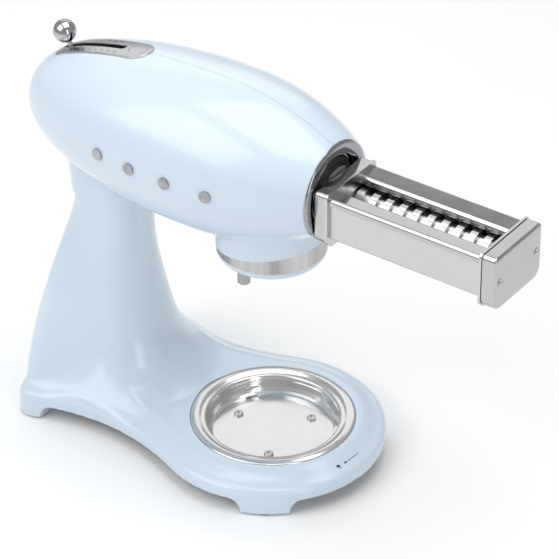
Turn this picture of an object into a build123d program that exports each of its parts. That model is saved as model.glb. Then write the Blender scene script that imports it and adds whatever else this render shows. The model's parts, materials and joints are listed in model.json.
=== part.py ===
"""Tilt-head stand mixer with a motor-driven pasta cutter on its front hub.

Millimetres, +Z up, +X towards the nose. The origin is on the ground under the middle of the whole machine.
The mixer is symmetric about the XZ plane apart from its gears, button and planetary tool shaft.
"""

import os
from math import acos, atan2, cos, degrees, pi, radians, sin, sqrt, tan

from build123d import *

os.makedirs("parts", exist_ok=True)

# ---------------------------------------------------------------- driving dimensions
bowl_x = 2.75  # the bowl's and the planetary's vertical axis
head_z = 305.0  # the head's long axis, which is also the motor's and the front hub's
wall = 3.0  # die-cast wall of the head shells
casting_wall = 3.6  # die-cast wall of the base and column
gap = 0.4  # between pieces that only sit beside each other

# head: an egg with elliptic sections
head_rear_x = bowl_x - 264.4
head_mid_x = bowl_x - 63.0  # the fattest section
head_front_x = bowl_x + 71.9
head_rim_x = bowl_x + 68.0  # where the nose is cut off for the hub bezel
head_half_width = 82.9
head_half_height = 74.4
nose_share = 0.56  # radius at head_front_x as a share of the fattest section
rear_power = 0.87  # under 1 is blunter than an ellipse
front_power = 2.38

# base: rounded rear, waist and round front
floor_z = -7.0  # heights are drawn from a level 7 above the floor, and save() lifts them
foot_z = floor_z + 1.6  # underside of the cast feet, on rubber pads
skirt_z = 8.5  # underside of the base's side wall
base_wall_top = 19.0
disc_x = bowl_x - 3.0
disc_r = 109.5
dish_top = 29.0
dish_floor = 12.5
dish_r = 62.0
well_r = dish_r + 4.7  # the casting's own well round the dish
dish_rim_r = 77.7
screw_circle = 40.0

# neck, hinge and lock
neck_front_x = bowl_x - 144.5
neck_rear_x = bowl_x - 214.0
pivot_x = bowl_x - 204.5
pivot_z = 220.0
pin_r = 3.5
ear_y = 18.0
ear_t = 4.0
lock_z = 178.0

# planetary
boss_r = 51.5
boss_in_r = 47.6
band_z = 222.0
band_tilt = 9.0  # degrees that the band's upper edge rises towards the nose
band_mid_z = 232.0
tool_offset = 27.0
tool_angle = -125.0
tool_r = 6.0  # the free end that takes the tools
tool_neck_r = 5.4
tool_z = 186.0

# speed lever
lever_x = bowl_x - 163.0
lever_z = 264.0
ball_x = bowl_x - 232.6
ball_z = 366.0
ball_r = 11.0
slot_rear_x = bowl_x - 228.7
slot_front_x = bowl_x - 165.0
slot_half = 3.8
plate_width = 30.0

# gears
gear_module = 1.5
face_teeth = 48
pinion_teeth = 12
ring_teeth = 52
planet_teeth = 16
face_r = gear_module * face_teeth / 2
pinion_r = gear_module * pinion_teeth / 2

# pasta cutter
plate_x0 = bowl_x + 84.0  # outside of the drive-side frame plate
plate_x1 = bowl_x + 244.2  # outside of the free-side frame plate
plate_t = 2.5
cap_x0 = bowl_x + 71.2
cap_x1 = bowl_x + 258.2
cap_half = 37.0
cap_low = 269.0
cap_top = 322.5
hopper_half = 35.8
roller_y = 12.0
roller_z = head_z - sqrt(16.5**2 - roller_y**2)
disc_pitch = 14.5
disc_width = 7.0
roller_r = 13.6
groove_r = 10.2
roller_mid_x = (plate_x0 + plate_x1) / 2
drive_teeth = 15
roller_drive_teeth = 18
roller_pair_teeth = 24


def save(part, name):
    """Writes one piece, lifted so that the floor is at height 0."""
    lifted = part.moved(Location((0, 0, -floor_z)))
    lifted.label = name
    export_step(lifted, f"parts/{name}.step")


def at(x, y, z, shape):
    return shape.moved(Location((x, y, z)))


# ---------------------------------------------------------------- shared shapes
def egg_share(x):
    """Radius at x as a share of the fattest section, for width (nose_share) or height."""
    if x <= head_mid_x:
        t = acos(min(1.0, (head_mid_x - x) / (head_mid_x - head_rear_x)))
        return sin(t) ** rear_power
    u = (x - head_mid_x) / (head_front_x - head_mid_x)
    return 1 - (1 - nose_share) * u**front_power


def egg(inset):
    """The head's solid egg about the X axis, shrunk by inset on every side."""
    rear = head_rear_x + inset
    xs = [rear + (head_mid_x - rear) * (1 - cos(radians(a))) for a in range(0, 90, 9)]
    step = (head_front_x - head_mid_x) / 7
    xs += [head_mid_x + step * i for i in range(8)]
    scale_x = (head_mid_x - head_rear_x) / (head_mid_x - rear)
    pts = []
    for x in xs:
        ref = head_mid_x - (head_mid_x - x) * scale_x if x < head_mid_x else x
        pts.append((x, (head_half_width - inset) * egg_share(ref)))
    pts[0] = (rear, 0)
    with BuildPart() as body:
        with BuildSketch(Plane.XY):
            with BuildLine():
                curve = Spline(*pts, tangents=[(0, 1), (1, -0.68)])
                Polyline(curve @ 1, (curve @ 1).X * Vector(1, 0), curve @ 0)
            make_face()
        revolve(axis=Axis.X)
        scale(by=(1, 1, (head_half_height - inset) / (head_half_width - inset)))
    return at(0, 0, head_z, body.part)


def rounded_section(rear, front, half_rear, half_front, radius, z):
    """A trapezium with round corners on a level plane, wide at the rear, for the column's lofts."""
    with BuildSketch(Plane.XY.offset(z)) as section:
        Polygon(
            (rear, -half_rear),
            (front, -half_front),
            (front, half_front),
            (rear, half_rear),
            align=None,
        )
        fillet(section.vertices(), radius)
    return section.sketch


# level, rear x, front x, half-width at the rear, half-width at the front, corner radius
column_levels = [
    (24, -237.0, -62.0, 96.0, 74.0, 24),
    (30, -236.5, -80.0, 93.5, 62.0, 24),
    (42, -235.5, -98.0, 90.0, 50.0, 24),
    (65, -232.0, -120.0, 86.0, 39.0, 24),
    (90, -229.0, -134.0, 81.0, 33.5, 22),
    (120, -225.0, -142.0, 71.0, 31.0, 20),
    (150, -221.0, -145.0, 57.0, 30.5, 20),
    (180, -217.0, -145.5, 41.0, 31.0, 20),
    (219, -214.0, -144.5, 33.5, 32.0, 20),
]


def column(inset, low, high):
    """The column's loft, shrunk by inset, between two of the levels."""
    with BuildPart() as body:
        for z, rear, front, half_rear, half_front, radius in column_levels:
            if low <= z <= high:
                add(
                    rounded_section(
                        bowl_x + rear + inset,
                        bowl_x + front - inset,
                        half_rear - inset,
                        half_front - inset,
                        radius - inset,
                        z,
                    )
                )
        loft()
    return body.part


def neck(inset):
    """The head's skirt over the column, which meets the underside of the egg."""
    with BuildPart() as body:
        for z, grow in ((205, 0.0), (262, 3.0)):
            add(
                rounded_section(
                    neck_rear_x + inset - grow,
                    neck_front_x - inset + grow,
                    33.5 - inset + grow,
                    32.0 - inset + grow,
                    20 - inset,
                    z,
                )
            )
        loft()
    return body.part


def parting(offset):
    """Everything above the line where the head's skirt meets the column."""
    far = 60
    with BuildPart() as body:
        with BuildSketch(Plane.XZ):
            with BuildLine():
                rise = Spline(
                    (neck_front_x + 4, 208.8 + offset),
                    (bowl_x - 180, 216.8 + offset),
                    tangents=[(-1, 0), (-1, 0)],
                )
                Polyline(
                    rise @ 1,
                    (neck_rear_x - far, 216.8 + offset),
                    (neck_rear_x - far, 300),
                    (neck_front_x + far, 300),
                    (neck_front_x + far, 208.8 + offset),
                    rise @ 0,
                )
            make_face()
        extrude(amount=far, both=True)
    return body.part


def base_outline(inset):
    """The base in plan, as a face at level 0."""
    meet = radians(247.5)  # where the waist's curve joins the round front
    r = disc_r - inset
    join = (disc_x + r * cos(meet), r * sin(meet))
    corner = (bowl_x - 212, -98.5 + inset)
    rear = bowl_x - 236 + inset
    with BuildSketch() as face:
        with BuildLine():
            ThreePointArc(join, (disc_x + r, 0), (join[0], -join[1]))
            for side in (1, -1):
                Spline(
                    (join[0], side * join[1]),
                    (bowl_x - 100, side * (-86 + inset)),
                    (bowl_x - 140, side * (-83.5 + inset)),
                    (bowl_x - 176, side * (-88 + inset)),
                    (corner[0], side * corner[1]),
                    tangents=[(-0.924, side * 0.383), (-0.93, side * -0.36)],
                )
                Spline(
                    (corner[0], side * corner[1]),
                    (rear + 0.8, side * (-76 + inset)),
                    tangents=[(-0.93, side * -0.36), (-0.04, side)],
                )
            ThreePointArc((rear + 0.8, -76 + inset), (rear - 1.5, 0), (rear + 0.8, 76 - inset))
        make_face()
    return face.sketch


def gear_points(teeth, module, phase, addendum=1.0, dedendum=1.25, backlash=0.2):
    """Corners of an involute spur gear with a tooth pointing at the angle phase, in degrees."""
    r = module * teeth / 2
    base_r = r * cos(radians(20))
    tip, root = r + addendum * module, r - dedendum * module
    pressure = tan(radians(20)) - radians(20)
    half_tooth = pi / (2 * teeth) - backlash / (2 * r)

    def half_angle(radius):
        if radius <= base_r:
            return half_tooth + pressure
        a = acos(base_r / radius)
        return half_tooth + pressure - (tan(a) - a)

    low = max(root, base_r)
    radii = [root] if root < base_r else []
    radii += [low + (tip - low) * i / 4 for i in range(5)]
    pts = []
    for k in range(teeth):
        middle = radians(phase) + 2 * pi * k / teeth
        up = [(q, middle - half_angle(q)) for q in radii]
        down = [(q, middle + half_angle(q)) for q in reversed(radii)]
        pts += [(q * cos(a), q * sin(a)) for q, a in up + down]
    return pts


def spur(teeth, module, phase, plane, length, bore, **form):
    """A spur gear extruded from the plane, with a plain bore."""
    with BuildPart() as gear:
        with BuildSketch(plane):
            with BuildLine():
                Polyline(*gear_points(teeth, module, phase, **form), close=True)
            make_face()
            if bore:
                Circle(bore, mode=Mode.SUBTRACT)
        extrude(amount=length)
    return gear.part


def facing_x(x, y=0.0, z=0.0):
    """A plane whose normal is +X, whose own x is +Y and whose own y is +Z."""
    return Plane(origin=(x, y, z), x_dir=(0, 1, 0), z_dir=(1, 0, 0))


def rod_x(x0, x1, r, y=0.0, z=0.0, bore=0.0):
    """A round bar or tube along X."""
    with BuildPart() as bar:
        with BuildSketch(facing_x(x0, y, z)):
            Circle(r)
            if bore:
                Circle(bore, mode=Mode.SUBTRACT)
        extrude(amount=x1 - x0)
    return bar.part


def rod_z(z0, z1, r, x=0.0, y=0.0, bore=0.0):
    """A round bar or tube along Z."""
    with BuildPart() as bar:
        with BuildSketch(Plane(origin=(x, y, z0))):
            Circle(r)
            if bore:
                Circle(bore, mode=Mode.SUBTRACT)
        extrude(amount=z1 - z0)
    return bar.part


def rod_y(y0, y1, r, x, z, bore=0.0):
    """A round bar or tube along Y."""
    with BuildPart() as bar:
        with BuildSketch(Plane(origin=(x, y0, z), x_dir=(1, 0, 0), z_dir=(0, 1, 0))):
            Circle(r)
            if bore:
                Circle(bore, mode=Mode.SUBTRACT)
        extrude(amount=y1 - y0)
    return bar.part


def block(x0, x1, y0, y1, z0, z1):
    box = Box(x1 - x0, y1 - y0, z1 - z0, mode=Mode.PRIVATE)
    return at((x0 + x1) / 2, (y0 + y1) / 2, (z0 + z1) / 2, box)


# ---------------------------------------------------------------- base and column
front_foot_angle = 57.0
front_foot_span = 13.0
screw_spots = [(bowl_x - 200, 55), (bowl_x - 200, -55), (bowl_x - 88, 48), (bowl_x - 88, -48)]
gland_z = 16.4
gland_y = 34.0

with BuildPart() as base_casting:
    with BuildSketch(Plane.XY.offset(skirt_z)):
        add(base_outline(0))
    extrude(amount=base_wall_top + 3.5 - skirt_z)
    top_edges = base_casting.edges().group_by(Axis.Z)[-1]
    fillet(top_edges, 5)
    with BuildSketch(Plane.XZ):  # the domed round front, rising to the dish
        with BuildLine():
            Polyline(
                (disc_x, skirt_z),
                (disc_x + disc_r, skirt_z),
                (disc_x + disc_r, base_wall_top - 4),
            )
            ThreePointArc(
                (disc_x + disc_r, base_wall_top - 4),
                (disc_x + disc_r - 1.8, base_wall_top + 0.8),
                (disc_x + disc_r - 6.5, base_wall_top + 3.2),
            )
            Polyline(
                (disc_x + disc_r - 6.5, base_wall_top + 3.2),
                (disc_x + dish_rim_r + 5, dish_top),
                (disc_x, dish_top),
                (disc_x, skirt_z),
            )
        make_face()
    revolve(axis=Axis((disc_x, 0, 0), (0, 0, 1)))
    add(column(0, 24, 219))
    # hollow underside and column, leaving the dish's seat and a web under the hinge
    with BuildSketch(Plane.XY.offset(skirt_z - 1)):
        add(base_outline(casting_wall))
    extrude(amount=base_wall_top + 0.4 - skirt_z, mode=Mode.SUBTRACT)
    add(column(casting_wall, 24, 150), mode=Mode.SUBTRACT)
    add(at(0, 0, -5, column(casting_wall, 24, 65)), mode=Mode.SUBTRACT)
    add(column(casting_wall, 150, 219) - block(-400, 400, -99, 99, 140, 154), mode=Mode.SUBTRACT)
    add(rod_z(12.8, base_wall_top + 1, dish_r + 8, x=bowl_x))
    add(rod_z(skirt_z, base_wall_top, well_r, x=bowl_x))
    add(rod_z(dish_floor - 1.3, dish_top + 2, dish_r + 2.0, x=bowl_x), mode=Mode.SUBTRACT)
    add(rod_z(dish_top - 4.5, dish_top + 2, dish_r + 6.0, x=bowl_x), mode=Mode.SUBTRACT)
    with BuildSketch(Plane.XZ):
        with BuildLine():
            Polyline(
                (bowl_x, dish_top - 1.6),
                (bowl_x + dish_rim_r + 0.2, dish_top - 1.6),
                (bowl_x + dish_rim_r + 0.2, dish_top + 3),
                (bowl_x, dish_top + 3),
                close=True,
            )
        make_face()
    revolve(axis=Axis((bowl_x, 0, 0), (0, 0, 1)), mode=Mode.SUBTRACT)
    # cast feet at the front sides and the rear corners
    for side in (1, -1):
        for low, high in ((foot_z, skirt_z + 2),):
            with BuildSketch(Plane.XY.offset(low)) as foot:
                add(base_outline(1.5))
                add(base_outline(21), mode=Mode.SUBTRACT)
                a = radians(front_foot_angle)
                s = radians(front_foot_span)
                reach = 160
                front = [
                    (disc_x, 0),
                    (disc_x + reach * cos(a - s), side * reach * sin(a - s)),
                    (disc_x + reach * cos(a + s), side * reach * sin(a + s)),
                ]
                rear = [
                    (bowl_x - 260, side * 62),
                    (bowl_x - 204, side * 62),
                    (bowl_x - 204, side * 120),
                    (bowl_x - 260, side * 120),
                ]
                with BuildSketch(mode=Mode.INTERSECT):
                    Polygon(*front, align=None)
                    Polygon(*rear, align=None)
            extrude(amount=high - low)
    # bosses for the bottom cover's screws
    for x, y in screw_spots:
        add(rod_z(12.2, base_wall_top + 2, 5, x=x, y=y))
        add(rod_z(11, base_wall_top, 1.5, x=x, y=y), mode=Mode.SUBTRACT)
    # the head's parting line, and a wedge behind the hinge that lets the skirt swing down
    add(parting(0), mode=Mode.SUBTRACT)
    with BuildSketch(Plane.XZ):
        Polygon(
            (pivot_x + 0.5, 217.2),
            (neck_rear_x - 20, 217.2),
            (neck_rear_x - 20, 217.2 - (pivot_x - neck_rear_x + 20) * tan(radians(34))),
            (pivot_x + 0.5, 216.2),
            align=None,
        )
    extrude(amount=60, both=True, mode=Mode.SUBTRACT)
    # holes for the lock button, the mains gland and the bracket's and dish's screws
    add(rod_x(neck_rear_x - 12, neck_rear_x + 8, 8.3, z=lock_z), mode=Mode.SUBTRACT)
    add(rod_x(bowl_x - 245, bowl_x - 225, 4.3, y=gland_y, z=gland_z), mode=Mode.SUBTRACT)
    for angle in (60, 180, 300):
        x = bowl_x + screw_circle * cos(radians(angle))
        y = screw_circle * sin(radians(angle))
        add(rod_z(skirt_z - 1, dish_floor + 1, 1.9, x=x, y=y), mode=Mode.SUBTRACT)
    for x, y in ((bowl_x - 196, 9), (bowl_x - 196, -9), (bowl_x - 162, 9), (bowl_x - 162, -9)):
        add(rod_z(148, 156, 1.6, x=x, y=y), mode=Mode.SUBTRACT)
save(base_casting.part, "base_casting")

with BuildPart() as base_cover:
    with BuildSketch(Plane.XY.offset(skirt_z + 1)):
        add(base_outline(casting_wall + gap))
        for side in (1, -1):
            with Locations((disc_x + 98 * cos(radians(57)), side * 98 * sin(radians(57)))):
                Rectangle(56, 42, rotation=-side * 33, mode=Mode.SUBTRACT)
            with Locations((bowl_x - 218, side * 82)):
                Rectangle(50, 48, mode=Mode.SUBTRACT)
        with Locations(*screw_spots):
            Circle(1.6, mode=Mode.SUBTRACT)
        with Locations((bowl_x, 0)):
            Circle(well_r + 0.6, mode=Mode.SUBTRACT)
        with Locations((bowl_x - 158, 0)):
            with GridLocations(9, 60, 9, 1):
                SlotOverall(50, 3.5, rotation=90, mode=Mode.SUBTRACT)
    extrude(amount=2.4)
save(base_cover.part, "base_cover")

with BuildPart() as cover_screws:
    for x, y in screw_spots:
        add(rod_z(skirt_z - 0.8, skirt_z + 1, 3.6, x=x, y=y))
        add(rod_z(skirt_z + 1, base_wall_top - 0.5, 1.5, x=x, y=y))
save(cover_screws.part, "base_cover_screws")

with BuildPart() as rubber_feet:
    for side in (1, -1):
        a = radians(front_foot_angle)
        for x, y in (
            (disc_x + (disc_r - 11) * cos(a), side * (disc_r - 11) * sin(a)),
            (bowl_x - 218, side * 82.5),
        ):
            add(rod_z(floor_z, foot_z, 9.0, x=x, y=y))
save(rubber_feet.part, "rubber_feet")

with BuildPart() as dish:
    with BuildSketch(Plane.XZ):
        with BuildLine():
            edge = bowl_x + dish_rim_r
            wall_x = bowl_x + dish_r
            Polyline(
                (bowl_x, dish_floor - 1.2),
                (wall_x - 0.6, dish_floor - 1.2),
                (wall_x + 1.6, dish_floor + 4.5),
                (wall_x + 1.6, dish_top - 3.6),
                (wall_x + 4.5, dish_top - 1.5),
                (edge, dish_top - 1.5),
                (edge, dish_top - 0.6),
            )
            Spline(
                (edge, dish_top - 0.6),
                (edge - 2.6, dish_top + 1.0),
                (edge - 6.5, dish_top + 1.5),
                (edge - 11.0, dish_top - 0.2),
                (wall_x, dish_top - 4.4),
                tangents=[(-0.2, 1), (-0.25, -1)],
            )
            Polyline(
                (wall_x, dish_top - 4.4),
                (wall_x, dish_top - 5.6),
                (wall_x - 1.2, dish_floor + 5.4),
                (wall_x - 3.0, dish_floor + 1.6),
                (wall_x - 5.2, dish_floor),
                (bowl_x, dish_floor),
                (bowl_x, dish_floor - 1.2),
            )
        make_face()
    revolve(axis=Axis((bowl_x, 0, 0), (0, 0, 1)))
    # three bayonet tabs that lock the bowl
    for angle in (25, 145, 265):
        with BuildPart(mode=Mode.PRIVATE) as tab:
            with BuildSketch(Plane.XY.offset(dish_floor + 5.4)):
                Circle(dish_r + 0.4)
                Circle(dish_r - 3.6, mode=Mode.SUBTRACT)
                with BuildSketch(mode=Mode.INTERSECT):
                    Polygon((0, 0), (90, -9), (90, 9), align=None)
            extrude(amount=1.6)
        add(tab.part.rotate(Axis.Z, angle).moved(Location((bowl_x, 0, 0))))
    for angle in (60, 180, 300):
        x = bowl_x + screw_circle * cos(radians(angle))
        y = screw_circle * sin(radians(angle))
        add(rod_z(dish_floor - 2, dish_floor + 1, 2.2, x=x, y=y), mode=Mode.SUBTRACT)
save(dish.part, "bowl_dish")

with BuildPart() as dish_screws:
    for angle in (60, 180, 300):
        x = bowl_x + screw_circle * cos(radians(angle))
        y = screw_circle * sin(radians(angle))
        with BuildPart(mode=Mode.PRIVATE) as screw:
            with BuildSketch(Plane(origin=(x, y, dish_floor))):
                Circle(4.4)
            extrude(amount=2.4)
            fillet(screw.edges().group_by(Axis.Z)[-1], 1.4)
            with BuildSketch(Plane(origin=(x, y, dish_floor + 1.2))):
                RegularPolygon(1.7, 6)
            extrude(amount=2, mode=Mode.SUBTRACT)
            add(rod_z(skirt_z + 0.2, dish_floor, 1.9, x=x, y=y))
        add(screw.part)
save(dish_screws.part, "bowl_dish_screws")

save(
    rod_x(bowl_x - 238.2, bowl_x - 229, 4.2, y=gland_y, z=gland_z, bore=3.0)
    + rod_x(bowl_x - 240.4, bowl_x - 237.6, 5.6, y=gland_y, z=gland_z, bore=3.0),
    "mains_gland",
)

# ---------------------------------------------------------------- hinge and lock
bracket_z = 154.0
guide_x = bowl_x - 192.0
with BuildPart() as bracket:
    add(block(bowl_x - 207, bowl_x - 153, -22, 22, bracket_z, bracket_z + 3))
    for side in (1, -1):
        with BuildSketch(Plane.XZ.offset(-side * (ear_y + ear_t / 2))):
            Polygon(
                (bowl_x - 207, bracket_z),
                (bowl_x - 158, bracket_z),
                (bowl_x - 196, 205),
                (pivot_x + 6, pivot_z + 2),
                (pivot_x + 2, pivot_z + 5),
                (pivot_x - 3, pivot_z + 5),
                (pivot_x - 4.5, pivot_z + 2),
                (pivot_x - 4.5, pivot_z - 1.6),
                (pivot_x - 2.2, pivot_z - 4.6),
                (pivot_x - 2.2, 205),
                align=None,
            )
        extrude(amount=ear_t / 2, both=True)
    add(block(guide_x, guide_x + 3, -ear_y - 1, ear_y + 1, bracket_z, lock_z + 16))
    add(rod_x(guide_x - 2, guide_x + 4, 3.2, z=lock_z), mode=Mode.SUBTRACT)
    add(rod_y(-30, 30, pin_r, pivot_x, pivot_z), mode=Mode.SUBTRACT)
    for x, y in ((bowl_x - 196, 9), (bowl_x - 196, -9), (bowl_x - 162, 9), (bowl_x - 162, -9)):
        add(rod_z(148, 160, 1.6, x=x, y=y), mode=Mode.SUBTRACT)
save(bracket.part, "hinge_bracket")

with BuildPart() as bracket_screws:
    for x, y in ((bowl_x - 196, 9), (bowl_x - 196, -9), (bowl_x - 162, 9), (bowl_x - 162, -9)):
        add(rod_z(150.6, bracket_z + 3, 1.6, x=x, y=y))
        add(rod_z(bracket_z + 3, bracket_z + 5.4, 3.2, x=x, y=y))
save(bracket_screws.part, "hinge_bracket_screws")

save(rod_y(-(ear_y + ear_t + 0.8), ear_y + ear_t + 0.8, pin_r, pivot_x, pivot_z), "hinge_pin")

button_x = bowl_x - 222.5
with BuildPart() as button:
    with BuildSketch(facing_x(button_x, z=lock_z)):
        Circle(8.0)
    extrude(amount=11)
    fillet(button.edges().group_by(Axis.X)[0], 1.2)
    add(rod_x(button_x + 11, bowl_x - 186, 3.0, z=lock_z))
save(button.part, "lock_button")

with BuildPart() as spring:
    coil_r = 4.6
    with BuildLine() as coil:
        Helix(pitch=2.6, height=guide_x - (button_x + 11) - 1.6, radius=coil_r)
    with BuildSketch(Plane(origin=coil.line @ 0, z_dir=coil.line % 0)):
        Circle(0.6)
    sweep(path=coil.line, is_frenet=True)
save(
    spring.part.rotate(Axis.Y, 90).moved(Location((button_x + 11.8, 0, lock_z))),
    "lock_spring",
)

# ---------------------------------------------------------------- head shells
band_plane = Plane(origin=(bowl_x, 0, band_mid_z), z_dir=(-sin(radians(band_tilt)), 0, cos(radians(band_tilt))))
outer_egg = egg(0)
trim_egg = egg(-1.1)

with BuildPart() as cavity:
    add(egg(wall))
    add(neck(wall))
    add(rod_z(205, head_z - 20, boss_in_r, x=bowl_x))

with BuildPart() as shells:
    add(outer_egg)
    add(neck(0))
    add(rod_z(210, head_z, boss_r, x=bowl_x))
    split(bisect_by=Plane(origin=(head_rim_x, 0, 0), z_dir=(-1, 0, 0)))
    add(cavity.part, mode=Mode.SUBTRACT)
    # below the parting line the skirt stops; under the boss the band takes over
    add(block(-400, bowl_x - 90, -99, 99, 150, 225) - parting(0.5), mode=Mode.SUBTRACT)
    with BuildSketch(band_plane):
        Rectangle(160, 160)
    extrude(amount=-60, mode=Mode.SUBTRACT)
    # the speed lever's slot
    with BuildSketch(Plane.XY.offset(head_z + 20)):
        with Locations(((slot_rear_x + slot_front_x) / 2, 0)):
            SlotCenterToCenter(slot_front_x - slot_rear_x + 2, 2 * slot_half)
    extrude(amount=80, mode=Mode.SUBTRACT)

for name, keep in (("head_shell_left", Keep.TOP), ("head_shell_right", Keep.BOTTOM)):
    with BuildPart() as half:
        add(shells.part)
        split(bisect_by=Plane(origin=(0, 0, 0), z_dir=(0, 1, 0)), keep=keep)
    save(half.part, name)

with BuildPart() as band:
    add(rod_z(band_z, 260, boss_r - 0.3, x=bowl_x, bore=boss_in_r + 0.1))
    split(bisect_by=band_plane.offset(-0.15), keep=Keep.BOTTOM)
save(band.part, "planetary_band")

with BuildPart() as speed_plate:
    with BuildSketch(Plane.XY.offset(head_z)):
        with Locations((bowl_x - 182, 0)):
            SlotOverall(98, plate_width)
        with Locations((bowl_x - 222.5, 0)):
            RectangleRounded(26, plate_width - 1.5, 4)
        with Locations(((slot_rear_x + slot_front_x) / 2, 0)):
            SlotCenterToCenter(slot_front_x - slot_rear_x, 2 * slot_half - 0.6, mode=Mode.SUBTRACT)
    extrude(amount=90)
    add(trim_egg, mode=Mode.INTERSECT)
    add(outer_egg, mode=Mode.SUBTRACT)
save(speed_plate.part, "speed_plate")

with BuildPart() as studs:
    for x in (-135, -97, -57, -14):
        add(rod_y(-90, -60, 5.6, bowl_x + x, head_z + 3))
    add(egg(-1.8), mode=Mode.INTERSECT)
    add(outer_egg, mode=Mode.SUBTRACT)
    mirror(about=Plane.XZ)
save(studs.part, "side_trim_studs")

# ---------------------------------------------------------------- head frame and drive
deck_z = 238.0  # the plate that carries the planetary
rail_top = 270.0
upright_x = 41.0
upright_t = 4.0
with BuildPart() as frame:
    add(rod_z(deck_z, deck_z + 5, boss_in_r - 0.3, x=bowl_x))
    for side in (1, -1):
        x = bowl_x + side * (upright_x + upright_t / 2)
        add(block(x - upright_t / 2, x + upright_t / 2, -14, 14, deck_z, head_z))
        add(rod_x(x - upright_t / 2, x + upright_t / 2, 14, z=head_z))
        add(block(bowl_x - 192, bowl_x - upright_x - 1, *sorted((side * 8, side * 14)), 258, rail_top))
        with BuildSketch(Plane.XZ.offset(-side * 11)):
            Polygon(
                (bowl_x - 192, rail_top),
                (pivot_x - 2, pivot_z + 6),
                (pivot_x, pivot_z),
                (pivot_x + 5, pivot_z),
                (bowl_x - 188, 244),
                (bowl_x - 150, 258),
                (bowl_x - 150, rail_top),
                align=None,
            )
        extrude(amount=3, both=True)
    add(rod_y(-ear_y + 2.6, ear_y - 2.6, 5.3, pivot_x, pivot_z))
    add(rod_y(-30, 30, pin_r + 0.05, pivot_x, pivot_z), mode=Mode.SUBTRACT)
    add(block(bowl_x - 60, bowl_x - upright_x - 1, -14, 14, 258, rail_top))
    add(block(bowl_x - 180, bowl_x - 177, -14, 14, 172, 262))  # the lock's catch plate
    add(rod_z(deck_z - 2, deck_z + 8, 13, x=bowl_x), mode=Mode.SUBTRACT)
    add(rod_x(bowl_x - 60, bowl_x - 30, 8.0, z=head_z), mode=Mode.SUBTRACT)
    add(rod_x(bowl_x + 30, bowl_x + 60, 8.0, z=head_z), mode=Mode.SUBTRACT)
    add(rod_y(-30, 30, 2.5, lever_x, lever_z), mode=Mode.SUBTRACT)
save(frame.part, "head_frame")

save(rod_z(deck_z - 0.4, deck_z + 6, 13, x=bowl_x, bore=8.05), "planetary_bearing")
with BuildPart() as bearings:
    add(rod_x(bowl_x + upright_x, bowl_x + upright_x + upright_t, 8.0, z=head_z, bore=5.05))
    add(rod_x(bowl_x - upright_x - upright_t, bowl_x - upright_x, 8.0, z=head_z, bore=4.05))
save(bearings.part, "drive_bearings")

with BuildPart() as motor:
    x1 = bowl_x - upright_x - upright_t - 0.2
    with BuildSketch(facing_x(x1 - 94, z=head_z)):
        Circle(30)
    extrude(amount=90)
    fillet(motor.edges().group_by(Axis.X)[0], 4)
    add(rod_x(x1 - 4, x1, 26, z=head_z))
    with BuildPart(mode=Mode.PRIVATE) as fins:
        for angle in range(0, 360, 30):
            fin = block(x1 - 80, x1 - 40, -1.2, 1.2, 29, 32)
            add(fin.rotate(Axis.X, angle))
    add(at(0, 0, head_z, fins.part))
    add(rod_x(x1 - 20, x1 + 2, 4.3, z=head_z), mode=Mode.SUBTRACT)
save(motor.part, "gear_motor")

with BuildPart() as board:
    add(block(bowl_x - 214, bowl_x - 152, 27.0, 28.6, 282, 326))
    for x in (bowl_x - 184, bowl_x - 158):  # legs down to the head frame's rail
        add(block(x - 3, x + 3, 27.0, 28.6, 260, 282))
        add(rod_y(14.0, 27.0, 2.6, x, 264))
    add(block(bowl_x - 190, bowl_x - 172, 20.5, 27.0, 290, 302))
    add(block(bowl_x - 168, bowl_x - 158, 21.5, 27.0, 306, 320))
save(board.part, "speed_control_board")

with BuildPart() as ring_gear:
    with BuildSketch(Plane(origin=(bowl_x, 0, 226))):
        Circle(46)
        with BuildLine():
            Polyline(
                *gear_points(ring_teeth, gear_module, tool_angle, 1.25, 1.0, -0.3),
                close=True,
            )
        make_face(mode=Mode.SUBTRACT)
    extrude(amount=deck_z - 226)
save(ring_gear.part, "planetary_ring_gear")

# planetary hub, which carries the tool shaft round
tool_x = bowl_x + tool_offset * cos(radians(tool_angle))
tool_y = tool_offset * sin(radians(tool_angle))
with BuildPart() as hub:
    with BuildSketch(Plane(origin=(bowl_x, 0, 213.6))):
        Circle(50.4)
    extrude(amount=band_z - 0.5 - 213.6)
    fillet(hub.edges().group_by(Axis.Z)[0], 6.5)
    add(rod_z(200, 240, 9.0, x=tool_x, y=tool_y), mode=Mode.SUBTRACT)
    add(rod_z(200, 240, 8.0, x=bowl_x), mode=Mode.SUBTRACT)
save(hub.part, "planetary_hub")
save(rod_z(212.6, 224.5, 9.0, x=tool_x, y=tool_y, bore=tool_neck_r + 0.05), "tool_shaft_bush")
save(rod_z(213.9, 287.5, 8.0, x=bowl_x), "planetary_shaft")

with BuildPart() as tool_shaft:
    with BuildSketch(Plane(origin=(tool_x, tool_y, tool_z))):
        Circle(tool_r)
    extrude(amount=18.8)
    with BuildSketch(Plane(origin=(tool_x, tool_y, tool_z + 18.8))):
        Circle(tool_neck_r)
    extrude(amount=deck_z - 1 - tool_z - 18.8)
    chamfer(tool_shaft.edges().group_by(Axis.Z)[0], 0.8)
    add(rod_y(tool_y - 20, tool_y + 20, 1.8, tool_x, 207.5), mode=Mode.SUBTRACT)
save(tool_shaft.part, "tool_shaft")
save(rod_y(tool_y - 9, tool_y + 9, 1.8, tool_x, 207.5), "tool_drive_pin")
save(
    spur(
        planet_teeth, gear_module, tool_angle, Plane(origin=(tool_x, tool_y, 226.5)), 10, tool_neck_r
    ),
    "planet_pinion",
)

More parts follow.
